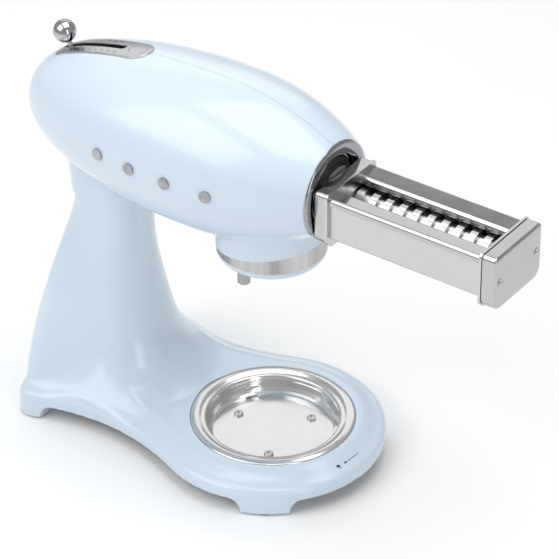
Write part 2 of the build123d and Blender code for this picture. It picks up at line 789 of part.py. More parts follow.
# face gear and its two pinions
tooth_depth = 1.25 * gear_module
pitch_z = head_z - pinion_r
with BuildPart() as face_tooth:
    half_pitch = (pi * gear_module / 2 - 0.8) / 2
    lean = tan(radians(20))
    with BuildSketch(facing_x(bowl_x + face_r - 3.5)):
        Polygon(
            (-half_pitch - tooth_depth * lean, pitch_z - tooth_depth),
            (half_pitch + tooth_depth * lean, pitch_z - tooth_depth),
            (half_pitch - 1.2 * lean, pitch_z + 1.2),
            (-half_pitch + 1.2 * lean, pitch_z + 1.2),
            align=None,
        )
    extrude(amount=7)
with BuildPart() as face_gear:
    add(rod_z(pitch_z - tooth_depth - 4, pitch_z - tooth_depth, face_r + 4, x=bowl_x, bore=8.0))
    add(rod_z(280, pitch_z - tooth_depth, 13, x=bowl_x, bore=8.0))
    for k in range(face_teeth):
        turn = 360 / face_teeth * (k + 0.5)
        add(face_tooth.part.rotate(Axis((bowl_x, 0, 0), (0, 0, 1)), turn))
save(face_gear.part, "face_gear")

save(
    spur(pinion_teeth, gear_module, -90, facing_x(bowl_x - 40, z=head_z), 8, 4.0),
    "motor_pinion",
)
save(rod_x(bowl_x - 60, bowl_x - 32, 4.0, z=head_z), "motor_shaft")
save(
    spur(pinion_teeth, gear_module, -90, facing_x(bowl_x + 32, z=head_z), 8, 5.0),
    "hub_pinion",
)

socket_half = 4.8
with BuildPart() as hub_shaft:
    add(rod_x(bowl_x + 32, bowl_x + 50, 5.0, z=head_z))
    with BuildSketch(facing_x(bowl_x + 50, z=head_z)):
        Circle(11)
    extrude(amount=14)
    with BuildSketch(facing_x(bowl_x + 51, z=head_z)):
        Rectangle(2 * socket_half, 2 * socket_half)
    extrude(amount=20, mode=Mode.SUBTRACT)
save(hub_shaft.part, "hub_drive_socket")

with BuildPart() as hub_housing:
    with BuildSketch(facing_x(bowl_x + 45.2, z=head_z)):
        Circle(29.5)
        Circle(5.4, mode=Mode.SUBTRACT)
    extrude(amount=20.8)
    add(rod_x(bowl_x + 48.6, bowl_x + 70, 23.1, z=head_z), mode=Mode.SUBTRACT)
save(hub_housing.part, "hub_housing")

with BuildPart() as bezel:
    with BuildSketch(Plane.XZ):
        with BuildLine():
            x = head_rim_x
            Polyline(
                (x + 0.1, head_z + 46.2),
                (x + 0.1, head_z + 42.6),
                (x - 8, head_z + 42.6),
                (x - 8, head_z + 30),
                (x - 2, head_z + 30),
            )
            Spline(
                (x - 2, head_z + 30),
                (x + 0.6, head_z + 33),
                (x + 2.4, head_z + 39),
                (x + 1.6, head_z + 45),
                (x + 0.1, head_z + 46.2),
            )
        make_face()
    revolve(axis=Axis((0, 0, head_z), (1, 0, 0)))
save(bezel.part, "hub_bezel")

# ---------------------------------------------------------------- speed lever
lever_reach = 90.0
lever_lean = degrees(atan2(lever_x - slot_rear_x, 348.8 - lever_z))
with BuildPart() as speed_lever:
    add(rod_y(-7.6, 7.6, 5.5, lever_x, lever_z))
    with BuildPart(mode=Mode.PRIVATE) as arm:
        with BuildSketch(Plane.XZ):
            with Locations((0, lever_reach / 2)):
                Rectangle(8, lever_reach)
        extrude(amount=1.6, both=True)
    add(arm.part.rotate(Axis.Y, -lever_lean).moved(Location((lever_x, 0, lever_z))))
    tip = Vector(lever_x, 0, lever_z) + Vector(-sin(radians(lever_lean)), 0, cos(radians(lever_lean))) * (lever_reach - 3)
    ball_centre = Vector(ball_x, 0, ball_z)
    run = ball_centre - tip
    with BuildSketch(Plane(origin=tip, z_dir=run)):
        Circle(2.5)
    extrude(amount=run.length - ball_r + 3)
    add(rod_y(-9, 9, 2.55, lever_x, lever_z), mode=Mode.SUBTRACT)
save(speed_lever.part, "speed_lever")

with BuildPart() as ball:
    add(at(ball_x, 0, ball_z, Sphere(ball_r, mode=Mode.PRIVATE)))
    add(speed_lever.part, mode=Mode.SUBTRACT)
save(ball.part, "lever_ball")
save(rod_y(-14, 14, 2.5, lever_x, lever_z), "lever_pivot_pin")

# ---------------------------------------------------------------- pasta cutter
def end_outline(grow):
    """Outline of the cutter's ends: square shoulders above, large round corners below."""
    with BuildSketch() as face:
        height = cap_top - cap_low + 2 * grow
        with Locations((0, (cap_top + cap_low) / 2)):
            Rectangle(2 * (cap_half + grow), height)
        low = face.vertices().group_by(Axis.Y)[0]
        fillet(low, 11)
        high = face.vertices().group_by(Axis.Y)[-1]
        fillet(high, 4)
    return face.sketch


def end_plate(x, bushes):
    """A frame plate with its bush holes."""
    with BuildPart() as plate:
        with BuildSketch(facing_x(x)):
            add(end_outline(1.0))
            for y, z, r in bushes:
                with Locations((y, z)):
                    Circle(r, mode=Mode.SUBTRACT)
        extrude(amount=plate_t)
    return plate.part


roller_bushes = [(-roller_y, roller_z, 7.0), (roller_y, roller_z, 7.0)]
tie_spots = [(-29.0, 283.0), (29.0, 283.0), (-29.0, 306.0), (29.0, 306.0)]
save(end_plate(plate_x0, roller_bushes + [(0, head_z, 4.0)]), "drive_side_plate")
save(end_plate(plate_x1 - plate_t, roller_bushes), "free_side_plate")


def end_cap(x0, x1, round_face, holes):
    """A drawn cover over one end's gears, open towards its frame plate."""
    outward = -1 if x1 < x0 else 1
    with BuildPart() as cap:
        with BuildSketch(facing_x(min(x0, x1))):
            add(end_outline(0))
        extrude(amount=abs(x1 - x0))
        fillet(cap.faces().sort_by(Axis.X)[round_face].edges(), 2.6)
        with BuildSketch(facing_x(min(x0, x1 - outward * 2))):
            add(end_outline(-1.5))
        extrude(amount=abs(x1 - x0) - 2, mode=Mode.SUBTRACT)
        for y, z, r in holes:
            add(rod_x(x1 - 4, x1 + 4, r, y=y, z=z), mode=Mode.SUBTRACT)
    return cap.part


cap_screws = [(-29.0, 297.0), (29.0, 297.0)]
save(
    end_cap(plate_x0 - gap, cap_x0, 0, [(0, head_z, 9.0)]),
    "drive_side_cover",
)
save(
    end_cap(plate_x1 + gap, cap_x1, -1, [(y, z, 2.2) for y, z in cap_screws]),
    "free_side_cover",
)

with BuildPart() as coupling:
    add(rod_x(bowl_x + 53, cap_x0, 22.8, z=head_z, bore=12.2))
    for angle in (90, 210, 330):  # three locating ribs inside
        rib = block(bowl_x + 56, cap_x0, -1.5, 1.5, 11.6, 13)
        add(at(0, 0, head_z, rib.rotate(Axis.X, angle)))
save(coupling.part, "coupling_tube")

with BuildPart() as cover_screws:
    for y, z in cap_screws:
        add(rod_x(plate_x1, cap_x1 + 0.6, 2.2, y=y, z=z))
        add(rod_x(cap_x1, cap_x1 + 0.7, 3.4, y=y, z=z))
        add(block(cap_x1 + 0.2, cap_x1 + 1, y - 3, y + 3, z - 0.5, z + 0.5), mode=Mode.SUBTRACT)
save(cover_screws.part, "free_cover_screws")

with BuildPart() as tie_rods:
    for y, z in tie_spots:
        add(rod_x(plate_x0 + plate_t, plate_x1 - plate_t, 3.0, y=y, z=z))
save(tie_rods.part, "tie_rods")

# front and rear: a flat panel, and a hopper sheet that leads the dough to the rollers
panel_y = 34.4
body_x0 = plate_x0 + plate_t + 0.1
body_x1 = plate_x1 - plate_t - 0.1
sheet = 1.2
for side, panel_name, hopper_name in (
    (-1, "front_panel", "front_hopper"),
    (1, "rear_panel", "rear_hopper"),
):
    with BuildPart() as panel:
        with BuildSketch(facing_x(body_x0)):
            with BuildLine():
                y = panel_y
                Polyline(
                    (side * y, 312.6),
                    (side * y, 280.5),
                )
                ThreePointArc(
                    (side * y, 280.5), (side * (y - 0.9), 278.4), (side * (y - 3), 277.5)
                )
                Polyline(
                    (side * (y - 3), 277.5),
                    (side * (y - 9), 277.5),
                    (side * (y - 9), 277.5 + sheet),
                    (side * (y - 3), 277.5 + sheet),
                )
                ThreePointArc(
                    (side * (y - 3), 277.5 + sheet),
                    (side * (y - 0.9 - 0.85), 279.2),
                    (side * (y - sheet), 280.5),
                )
                Polyline(
                    (side * (y - sheet), 280.5), (side * (y - sheet), 312.6), (side * y, 312.6)
                )
            make_face()
        extrude(amount=body_x1 - body_x0)
    save(panel.part, panel_name)
    with BuildPart() as hopper:
        with BuildSketch(facing_x(body_x0)):
            with BuildLine():
                y = hopper_half
                Polyline((side * (y - sheet), 312.9), (side * y, 312.9), (side * y, 316.0))
                ThreePointArc(
                    (side * y, 316.0), (side * (y - 1.0), 318.3), (side * (y - 3.4), 319.3)
                )
                Polyline((side * (y - 3.4), 319.3), (side * 18.5, 317.4))
                ThreePointArc((side * 18.5, 317.4), (side * 15.6, 316.0), (side * 14.6, 313.2))
                Polyline(
                    (side * 14.6, 313.2),
                    (side * 14.6, 310.2),
                    (side * (14.6 + sheet), 310.2),
                    (side * (14.6 + sheet), 313.2),
                )
                ThreePointArc(
                    (side * (14.6 + sheet), 313.2),
                    (side * 16.6, 315.3),
                    (side * 18.6, 316.2),
                )
                Polyline((side * 18.6, 316.2), (side * (y - 3.4), 318.1))
                ThreePointArc(
                    (side * (y - 3.4), 318.1),
                    (side * (y - 1.0 - 0.85), 317.4),
                    (side * (y - sheet), 316.0),
                )
                Polyline((side * (y - sheet), 316.0), (side * (y - sheet), 312.9))
            make_face()
        extrude(amount=body_x1 - body_x0)
    save(hopper.part, hopper_name)


# rollers: rings of one roller run in the grooves of the other
def cutting_roller(y, count, phase):
    """One cutting roller with its stub shafts; count rings about its middle."""
    core = 76.3
    with BuildPart() as roller:
        add(rod_x(roller_mid_x - core, roller_mid_x + core, groove_r, y=y, z=roller_z))
        for k in range(count):
            x = roller_mid_x + (k - (count - 1) / 2) * disc_pitch
            add(rod_x(x - disc_width / 2, x + disc_width / 2, roller_r, y=y, z=roller_z))
        add(rod_x(plate_x0 - 7, plate_x1 + 6, 5.0, y=y, z=roller_z))
    return roller.part


save(cutting_roller(-roller_y, 10, 0), "front_cutting_roller")
save(cutting_roller(roller_y, 11, 0), "rear_cutting_roller")

with BuildPart() as bushes:
    for x in (plate_x0, plate_x1 - plate_t):
        for y in (-roller_y, roller_y):
            add(rod_x(x - 0.3, x + plate_t + 0.3, 7.0, y=y, z=roller_z, bore=5.05))
save(bushes.part, "roller_bushes")

gear_x = plate_x0 - 6.4
to_roller = degrees(atan2(roller_z - head_z, -roller_y))
save(
    spur(drive_teeth, 1.0, to_roller, facing_x(gear_x, z=head_z), 5, 4.0),
    "cutter_drive_gear",
)
save(
    spur(
        roller_drive_teeth,
        1.0,
        to_roller + 180 + 180 / roller_drive_teeth,
        facing_x(gear_x, y=-roller_y, z=roller_z),
        5,
        5.0,
    ),
    "roller_drive_gear",
)
pair_x = plate_x1 + 0.8
save(
    spur(roller_pair_teeth, 1.0, 0, facing_x(pair_x, y=-roller_y, z=roller_z), 5, 5.0),
    "front_roller_gear",
)
save(
    spur(
        roller_pair_teeth,
        1.0,
        180 + 180 / roller_pair_teeth,
        facing_x(pair_x, y=roller_y, z=roller_z),
        5,
        5.0,
    ),
    "rear_roller_gear",
)

tang_half = 4.5
with BuildPart() as drive_shaft:
    with BuildSketch(facing_x(bowl_x + 52.5, z=head_z)):
        Rectangle(2 * tang_half, 2 * tang_half)
    extrude(amount=14)
    add(rod_x(bowl_x + 66.5, gear_x - 0.4, 7.0, z=head_z))
    add(rod_x(gear_x - 0.4, plate_x0 + plate_t, 3.95, z=head_z))
save(drive_shaft.part, "cutter_drive_shaft")

# combs that lift the strands out of the grooves
for side, count, name in ((-1, 10, "front_comb"), (1, 11, "rear_comb")):
    with BuildPart() as comb:
        low, high = sorted((side * 20.0, side * 25.2))
        add(block(body_x0 + 0.2, body_x1 - 0.2, low, high, 278.8, 280.3))
        low, high = sorted((side * 19.0, side * 20.2))
        add(block(body_x0 + 0.2, body_x1 - 0.2, low, high, 278.8, 282.0))
        for k in range(count - 1):
            x = roller_mid_x + (k - (count - 2) / 2) * disc_pitch
            low, high = sorted((side * 10.0, side * 20.0))
            add(block(x - 3.1, x + 3.1, low, high, 280.8, 282.0))
    save(comb.part, name)
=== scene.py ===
"""A tilt-head stand mixer in pale blue enamel, with a pasta cutter on its front hub.

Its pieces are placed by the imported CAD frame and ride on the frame's bodies.
"""

import json
from math import cos, pi, radians, sin

import bmesh
import bpy
import numpy as np
from mathutils import Matrix, Vector


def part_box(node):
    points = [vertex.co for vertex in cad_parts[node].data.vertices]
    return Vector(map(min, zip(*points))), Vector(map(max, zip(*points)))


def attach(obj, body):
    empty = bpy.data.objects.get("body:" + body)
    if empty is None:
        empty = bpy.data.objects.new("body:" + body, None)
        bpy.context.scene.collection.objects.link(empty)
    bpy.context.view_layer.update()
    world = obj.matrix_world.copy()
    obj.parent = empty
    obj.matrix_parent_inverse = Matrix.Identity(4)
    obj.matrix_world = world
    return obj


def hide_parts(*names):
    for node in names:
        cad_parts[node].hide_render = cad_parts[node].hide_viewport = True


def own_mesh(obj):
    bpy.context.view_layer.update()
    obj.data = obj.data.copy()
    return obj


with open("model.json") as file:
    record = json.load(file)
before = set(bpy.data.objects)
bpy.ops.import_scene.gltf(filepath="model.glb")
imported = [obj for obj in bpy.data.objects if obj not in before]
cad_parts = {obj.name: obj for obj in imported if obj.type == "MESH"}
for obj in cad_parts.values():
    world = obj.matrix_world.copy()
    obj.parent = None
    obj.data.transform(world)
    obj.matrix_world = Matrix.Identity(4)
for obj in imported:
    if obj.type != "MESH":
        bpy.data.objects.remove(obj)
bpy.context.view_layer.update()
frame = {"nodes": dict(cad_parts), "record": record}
nodes = frame["nodes"]
MM = 0.001

# ---------------------------------------------------------------- places read from the frame
shaft_low, shaft_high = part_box("planetary_shaft")
BOWL_X = (shaft_low.x + shaft_high.x) / 2
bezel_low, bezel_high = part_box("hub_bezel")
HEAD_Z = (bezel_low.z + bezel_high.z) / 2


# ---------------------------------------------------------------- node helpers
NOISE_LOW, NOISE_HIGH = 0.3, 0.7


class Graph:
    """A material's node tree, with short calls for the nodes used here."""

    def __init__(self, name):
        self.material = bpy.data.materials.new(name)
        self.material.use_nodes = True
        self.tree = self.material.node_tree
        self.shader = self.tree.nodes["Principled BSDF"]
        self.coords = self.tree.nodes.new("ShaderNodeTexCoord").outputs["Object"]

    def link(self, out, socket):
        self.tree.links.new(out, socket)

    def set(self, **values):
        """Plain values on the shader's own sockets, such as Coat_Weight=0.5."""
        for key, value in values.items():
            self.shader.inputs[key.replace("_", " ")].default_value = value

    def stretched(self, scale, shift=(0, 0, 0)):
        """The object's own coordinates, scaled and then moved."""
        node = self.tree.nodes.new("ShaderNodeMapping")
        node.inputs["Scale"].default_value = scale
        node.inputs["Location"].default_value = shift
        self.link(self.coords, node.inputs["Vector"])
        return node.outputs["Vector"]

    def noise(self, vector, scale, detail=3.0, rough=0.55):
        node = self.tree.nodes.new("ShaderNodeTexNoise")
        node.inputs["Scale"].default_value = scale
        node.inputs["Detail"].default_value = detail
        node.inputs["Roughness"].default_value = rough
        self.link(vector, node.inputs["Vector"])
        return node.outputs["Fac"]

    def spread(self, value, low, high):
        """A noise's usual values, spread over low to high."""
        node = self.tree.nodes.new("ShaderNodeMapRange")
        node.inputs["From Min"].default_value = NOISE_LOW
        node.inputs["From Max"].default_value = NOISE_HIGH
        node.inputs["To Min"].default_value = low
        node.inputs["To Max"].default_value = high
        self.link(value, node.inputs["Value"])
        return node.outputs["Result"]

    def ramp(self, value, stops):
        node = self.tree.nodes.new("ShaderNodeValToRGB")
        elements = node.color_ramp.elements
        while len(elements) < len(stops):
            elements.new(0.5)
        for element, (place, colour) in zip(elements, stops):
            element.position = place
            element.color = (*colour, 1)
        self.link(value, node.inputs["Fac"])
        return node.outputs["Color"]

    def math(self, kind, a, b=None):
        node = self.tree.nodes.new("ShaderNodeMath")
        node.operation = kind
        for socket, value in zip(node.inputs, (a, b)):
            if value is None:
                continue
            if isinstance(value, (int, float)):
                socket.default_value = value
            else:
                self.link(value, socket)
        return node.outputs[0]

    def bump(self, height, strength, distance=0.0002, before=None):
        node = self.tree.nodes.new("ShaderNodeBump")
        node.inputs["Strength"].default_value = strength
        node.inputs["Distance"].default_value = distance
        self.link(height, node.inputs["Height"])
        if before is not None:
            self.link(before, node.inputs["Normal"])
        return node.outputs["Normal"]

    def place(self):
        """x from the bowl's axis, y, distance from that axis, and z, in metres."""
        split = self.tree.nodes.new("ShaderNodeSeparateXYZ")
        self.link(self.stretched((1, 1, 1), (-BOWL_X, 0, 0)), split.inputs[0])
        x, y = split.outputs["X"], split.outputs["Y"]
        square = self.math("ADD", self.math("MULTIPLY", x, x), self.math("MULTIPLY", y, y))
        return x, y, self.math("SQRT", square), split.outputs["Z"]

    def within(self, value, low, high):
        """1 where value is between low and high."""
        above = self.math("GREATER_THAN", value, low)
        return self.math("MULTIPLY", above, self.math("LESS_THAN", value, high))

    def every(self, *masks):
        """1 where all the masks are."""
        out = masks[0]
        for mask in masks[1:]:
            out = self.math("MULTIPLY", out, mask)
        return out

    def either(self, *masks):
        """1 where any of the masks is."""
        out = masks[0]
        for mask in masks[1:]:
            out = self.math("MAXIMUM", out, mask)
        return out

    def inked(self, colour, mask, ink):
        """colour, with ink where mask is 1."""
        node = self.tree.nodes.new("ShaderNodeMixRGB")
        self.link(mask, node.inputs["Fac"])
        self.link(colour, node.inputs["Color1"])
        node.inputs["Color2"].default_value = (*ink, 1)
        return node.outputs["Color"]

    def plug(self, **outs):
        for key, out in outs.items():
            self.link(out, self.shader.inputs[key.replace("_", " ")])


def scaled(colour, k):
    """colour, k times as bright."""
    return tuple(min(1.0, c * k) for c in colour)


INK = (0.035, 0.045, 0.055)


def lock_marks(g):
    """A small padlock and a curved arrow that points to it, printed beside the bowl's seat."""
    arrow_r, arrow_start, arrow_tip = 0.0946, 0.004, -0.0176
    lock_low_r, lock_high_r, lock_y = 0.0932, 0.0957, -0.024
    x, y, r, z = g.place()
    top = g.every(g.math("GREATER_THAN", z, 0.02), g.math("GREATER_THAN", x, 0))
    line = g.every(g.within(r, arrow_r - 0.0003, arrow_r + 0.0003), g.within(y, -0.015, arrow_start))
    half = g.math("MULTIPLY", g.math("ADD", y, -arrow_tip), 0.45)
    off = g.math("ABSOLUTE", g.math("SUBTRACT", r, arrow_r))
    head = g.every(g.math("LESS_THAN", off, half), g.within(y, arrow_tip, -0.0145))
    body = g.every(
        g.within(r, lock_low_r, lock_high_r), g.within(y, lock_y - 0.0017, lock_y + 0.0017)
    )
    up, side = g.math("SUBTRACT", r, lock_high_r), g.math("ADD", y, -lock_y)
    bow = g.math("ADD", g.math("MULTIPLY", up, up), g.math("MULTIPLY", side, side))
    bow = g.every(g.within(bow, 0.001**2, 0.0016**2), g.math("GREATER_THAN", up, 0))
    return g.every(top, g.either(line, head, body, bow))


def scale_marks(g):
    """The lever's scale: short bars beside the slot, and an outlined round rest at the front."""
    first_bar, bar_step, ring_x = -0.2255, 0.0072, -0.1475
    x, y = g.place()[:2]
    step = g.math("FRACT", g.math("DIVIDE", g.math("ADD", x, -first_bar), bar_step))
    row = g.every(g.within(x, -0.226, -0.163), g.within(y, -0.0108, -0.0092))
    bars = g.every(g.math("LESS_THAN", step, 0.2), row)
    row = g.every(g.within(y, 0.0088, 0.0108), g.within(x, -0.19, -0.168))
    far = g.every(row, g.math("LESS_THAN", step, 0.45))
    out = g.math("ADD", x, -ring_x)
    ring = g.math("ADD", g.math("MULTIPLY", out, out), g.math("MULTIPLY", y, y))
    ring = g.every(g.within(ring, 0.0083**2, 0.0088**2), g.within(y, -0.0062, 0.0062))
    return g.either(bars, far, ring)


def enamel(name, colour, marks=None):
    """Baked gloss enamel: a faint orange peel and slow changes of shade under a clear coat."""
    g = Graph(name)
    slow = g.noise(g.coords, 7, 2)
    shade = g.ramp(slow, [(0.25, scaled(colour, 0.975)), (0.75, scaled(colour, 1.015))])
    if marks:
        shade = g.inked(shade, marks(g), INK)
    g.plug(Base_Color=shade)
    g.plug(Roughness=g.spread(g.noise(g.coords, 60, 4), 0.2, 0.27))
    g.plug(Normal=g.bump(g.noise(g.coords, 420, 1.5), 0.05, 0.0004))
    g.set(Coat_Weight=0.4, Coat_Roughness=0.09, IOR=1.5)
    return g.material


def steel(
    name, colour, along="X", rough=(0.22, 0.36), strength=0.12, density=1.0, marks=None, grain=0.86
):
    """Brushed steel, its lines running along one axis, or round the bowl's axis for "turned"."""
    g = Graph(name)
    fine, coarse = 2600 * density, 6.0
    if along == "turned":
        radius, z = g.place()[2:]
        join = g.tree.nodes.new("ShaderNodeCombineXYZ")
        g.link(radius, join.inputs["X"])
        g.link(z, join.inputs["Y"])
        lines = g.noise(join.outputs[0], fine / 2, 3)
    else:
        scale = tuple(coarse if axis == along else fine for axis in "XYZ")
        lines = g.noise(g.stretched(scale), 1.0, 4, 0.65)
    blotch = g.noise(g.coords, 35, 3)
    shade = g.ramp(lines, [(0.3, scaled(colour, grain)), (0.7, scaled(colour, 1.03))])
    if marks:
        shade = g.inked(shade, marks(g), INK)
    g.plug(Base_Color=shade)
    mixed = g.math("ADD", g.spread(lines, *rough), g.spread(blotch, -0.03, 0.05))
    g.plug(Roughness=mixed, Normal=g.bump(lines, strength, 0.00008))
    g.set(Metallic=1.0)
    return g.material


def chrome(name, colour, rough=(0.05, 0.11), tone_and_reflection_depth=0.95, tall=1.0):
    """Polished plating with fine wipe marks and a slight waviness. Its colour clouds down to the
    given depth times its own: near 1 this is a faint change of tone, lower it is a painted
    reflection, in upright streaks where tall is small.
    """
    g = Graph(name)
    wipe = g.noise(g.stretched((900, 300, 900)), 1.0, 3)
    tone_and_reflection_cloud = g.noise(g.stretched((1, 1, tall)), 48, 3)
    g.plug(Base_Color=g.ramp(tone_and_reflection_cloud, [(0.3, scaled(colour, tone_and_reflection_depth)), (0.7, scaled(colour, 1.02))]))
    g.plug(Roughness=g.math("ADD", g.spread(tone_and_reflection_cloud, *rough), g.spread(wipe, -0.012, 0.02)))
    g.plug(Normal=g.bump(wipe, 0.03, 0.00005, g.bump(g.noise(g.coords, 90, 1), 0.03, 0.0004)))
    g.set(Metallic=1.0)
    return g.material


def cast(name, colour, grain=900, metallic=1.0, rough=(0.42, 0.6)):
    """As-cast or powdered metal: a sandy grain with darker pits."""
    g = Graph(name)
    sand = g.noise(g.coords, grain, 4, 0.6)
    patches = g.noise(g.coords, 60, 3)
    g.plug(Base_Color=g.ramp(patches, [(0.3, scaled(colour, 0.85)), (0.7, scaled(colour, 1.08))]))
    g.plug(Roughness=g.spread(sand, *rough), Normal=g.bump(sand, 0.25, 0.0002))
    g.set(Metallic=metallic)
    return g.material


def moulded(name, colour, rough=(0.38, 0.55), grain=1400, coat=0.0):
    """Moulded plastic or rubber with a fine texture and worn shine."""
    g = Graph(name)
    texture = g.noise(g.coords, grain, 3)
    worn = g.noise(g.coords, 30, 4)
    g.plug(Base_Color=g.ramp(worn, [(0.3, scaled(colour, 0.85)), (0.7, scaled(colour, 1.2))]))
    g.plug(Roughness=g.spread(worn, *rough), Normal=g.bump(texture, 0.2, 0.00012))
    g.set(Coat_Weight=coat)
    return g.material


def circuit(name):
    """A circuit board's green mask over paler tracks."""
    g = Graph(name)
    node = g.tree.nodes.new("ShaderNodeTexVoronoi")
    node.feature = "DISTANCE_TO_EDGE"
    node.distance = "EUCLIDEAN"
    node.inputs["Scale"].default_value = 160
    g.link(g.coords, node.inputs["Vector"])
    track = node.outputs["Distance"]
    g.plug(Base_Color=g.ramp(track, [(0.06, (0.10, 0.32, 0.14)), (0.1, (0.02, 0.12, 0.05))]))
    g.plug(Normal=g.bump(track, 0.3, 0.0001), Roughness=g.spread(g.noise(g.coords, 80), 0.3, 0.4))
    return g.material


BLUE = (0.625, 0.745, 0.85)
materials = {
    "blue": enamel("pale_blue_enamel", BLUE),
    "grey_plastic": moulded("grey_cover_plastic", (0.33, 0.34, 0.35)),
    "zinc": steel("turned_screw_steel", (0.60, 0.60, 0.62), "Z", (0.25, 0.4)),
    "rubber": moulded("foot_rubber", (0.03, 0.03, 0.032), (0.7, 0.85)),
    "black_rubber": moulded("gland_rubber", (0.012, 0.012, 0.012), (0.6, 0.75)),
    "steel": steel(
        "spun_dish_steel", (0.74, 0.74, 0.735), "turned", (0.13, 0.2), 0.02, grain=0.95
    ),
    "cast": cast("cast_aluminium", (0.55, 0.56, 0.57)),
    "chrome": chrome("polished_chrome", (0.50, 0.505, 0.515)),
    "dark_chrome": chrome("smoky_chrome", (0.36, 0.37, 0.39), (0.08, 0.16)),
    "dark_cast": cast("dark_hub_casting", (0.06, 0.06, 0.065), 700, 0.7, (0.35, 0.5)),
    "brass": cast("sintered_bronze", (0.62, 0.42, 0.18), 1600),
    "motor": moulded("motor_enamel", (0.05, 0.052, 0.055), (0.3, 0.42), 800, 0.3),
    "board": circuit("control_board"),
    "gear_steel": steel("ground_gear_steel", (0.50, 0.50, 0.51), "Z", (0.25, 0.38)),
    "cutter_steel": steel(
        "cutter_brushed_steel", (0.60, 0.597, 0.59), "X", (0.16, 0.28), 0.06, grain=0.92
    ),
    "cutter_chrome": chrome("cutter_polished_steel", (0.52, 0.517, 0.51), (0.08, 0.15)),
    "roller_steel": steel("roller_machined_steel", (0.62, 0.62, 0.62), "Y", (0.2, 0.32)),
    "black_plastic": moulded("comb_plastic", (0.014, 0.014, 0.015)),
}
special = {
    "speed_plate": steel(
        "speed_plate_steel", (0.60, 0.60, 0.61), "X", (0.2, 0.3), 0.05, 1.4, scale_marks, 0.93
    ),
    "hub_housing": moulded("hub_socket_black", (0.012, 0.012, 0.013), (0.4, 0.55), 700),
    # the planetary band's chrome clouds down to 0.4 of its colour in upright streaks: a painted
    # reflection
    "planetary_band": chrome("planetary_band_chrome", (0.60, 0.60, 0.605), (0.05, 0.1), 0.4, 0.03),
    "tool_shaft": steel("tool_shaft_steel", (0.40, 0.395, 0.39), "Z", (0.15, 0.25), 0.05),
    # the studs' chrome clouds down to 0.55 of its colour: a painted reflection
    "side_trim_studs": chrome("stud_chrome", (0.50, 0.505, 0.515), (0.05, 0.1), 0.55),
}
slot_of = {s["node"]: s["material_slot"] for s in frame["record"]["subparts"]}
for name, node in nodes.items():
    node.data.materials.clear()
    node.data.materials.append(special.get(name, materials[slot_of[name]]))

# ---------------------------------------------------------------- mesh tools
def new_object(name, verts, faces, material, smooth=True):
    mesh = bpy.data.meshes.new(name)
    mesh.from_pydata([tuple(v) for v in verts], [], [tuple(f) for f in faces])
    mesh.validate()
    mesh.update()
    obj = bpy.data.objects.new(name, mesh)
    bpy.context.scene.collection.objects.link(obj)
    if material is not None:
        mesh.materials.append(material)
    if smooth:
        mesh.shade_smooth()
    return obj


def grown(field, low, high, step):
    """Vertices and quads of the surface where field is 0.

    Each cell that the surface crosses has one vertex, which is then moved onto it.
    """
    axes = [np.arange(a, b + step, step) for a, b in zip(low, high)]
    x, y, z = axes[0][:, None, None], axes[1][None, :, None], axes[2][None, None, :]
    value = np.broadcast_to(field(x, y, z), tuple(len(a) for a in axes)).astype(np.float32)
    inside = value < 0
    cells = tuple(n - 1 for n in inside.shape)
    count = np.zeros(cells, np.int8)
    for i in (0, 1):
        for j in (0, 1):
            for k in (0, 1):
                count += inside[i : i + cells[0], j : j + cells[1], k : k + cells[2]]
    crossed = (count > 0) & (count < 8)
    number = np.full(cells, -1, np.int64)
    at = np.argwhere(crossed)
    number[tuple(at.T)] = np.arange(len(at))
    points = np.zeros((len(at), 3))
    hits = np.zeros(len(at))
    corners = [(i, j, k) for i in (0, 1) for j in (0, 1) for k in (0, 1)]
    for c in corners:
        for axis in range(3):
            if c[axis]:
                continue
            d = list(c)
            d[axis] = 1
            a = value[tuple((at + c).T)]
            b = value[tuple((at + d).T)]
            passes = (a < 0) != (b < 0)
            t = np.where(passes, a / np.where(passes, a - b, 1), 0)
            place = (at + c).astype(float)
            place[:, axis] += t
            points[passes] += place[passes]
            hits += passes
    points = points / hits[:, None] * step + np.array([a[0] for a in axes])
    for _ in range(4):
        here = field(*points.T)
        slope = slopes(field, points)
        size = np.maximum((slope**2).sum(1), 0.05)
        move = slope * (here / size)[:, None]
        length = np.sqrt((move**2).sum(1))
        points -= move * np.minimum(1, 0.6 * step / np.maximum(length, 1e-9))[:, None]
    faces = []
    for axis in range(3):
        one = [slice(None)] * 3
        two = [slice(None)] * 3
        one[axis], two[axis] = slice(None, -1), slice(1, None)
        flips = inside[tuple(one)] != inside[tuple(two)]
        u, v = (axis + 1) % 3, (axis + 2) % 3
        edge = np.argwhere(flips)
        edge = edge[(edge[:, u] > 0) & (edge[:, v] > 0)]
        edge = edge[(edge[:, u] < cells[u]) & (edge[:, v] < cells[v])]
        ring = []
        for du, dv in ((-1, -1), (0, -1), (0, 0), (-1, 0)):
            cell = edge.copy()
            cell[:, u] += du
            cell[:, v] += dv
            ring.append(number[tuple(cell.T)])
        quad = np.stack(ring, 1)
        outward = inside[tuple(edge.T)]
        quad[~outward] = quad[~outward][:, ::-1]
        faces.append(quad)
    return points, np.concatenate(faces)


def slopes(field, points):
    """How fast the field grows along x, y and z at each point."""
    reach = 0.05
    out = np.empty_like(points)
    for axis in range(3):
        ahead, behind = points.copy(), points.copy()
        ahead[:, axis] += reach
        behind[:, axis] -= reach
        out[:, axis] = (field(*ahead.T) - field(*behind.T)) / (2 * reach)
    return out


def both_round(a, b, r):
    """Where a and b are both inside, their edge rounded to radius r."""
    return np.minimum(-r, np.maximum(a, b)) + np.hypot(np.maximum(a + r, 0), np.maximum(b + r, 0))


def either_round(a, b, r):
    """Where a or b is inside, with a fillet of radius r between them."""
    return np.maximum(r, np.minimum(a, b)) - np.hypot(np.maximum(r - a, 0), np.maximum(r - b, 0))


def eased(value, low, high):
    """0 up to low, 1 from high on, and a smooth rise between them."""
    t = np.clip((value - low) / (high - low), 0, 1)
    return t * t * (3 - 2 * t)


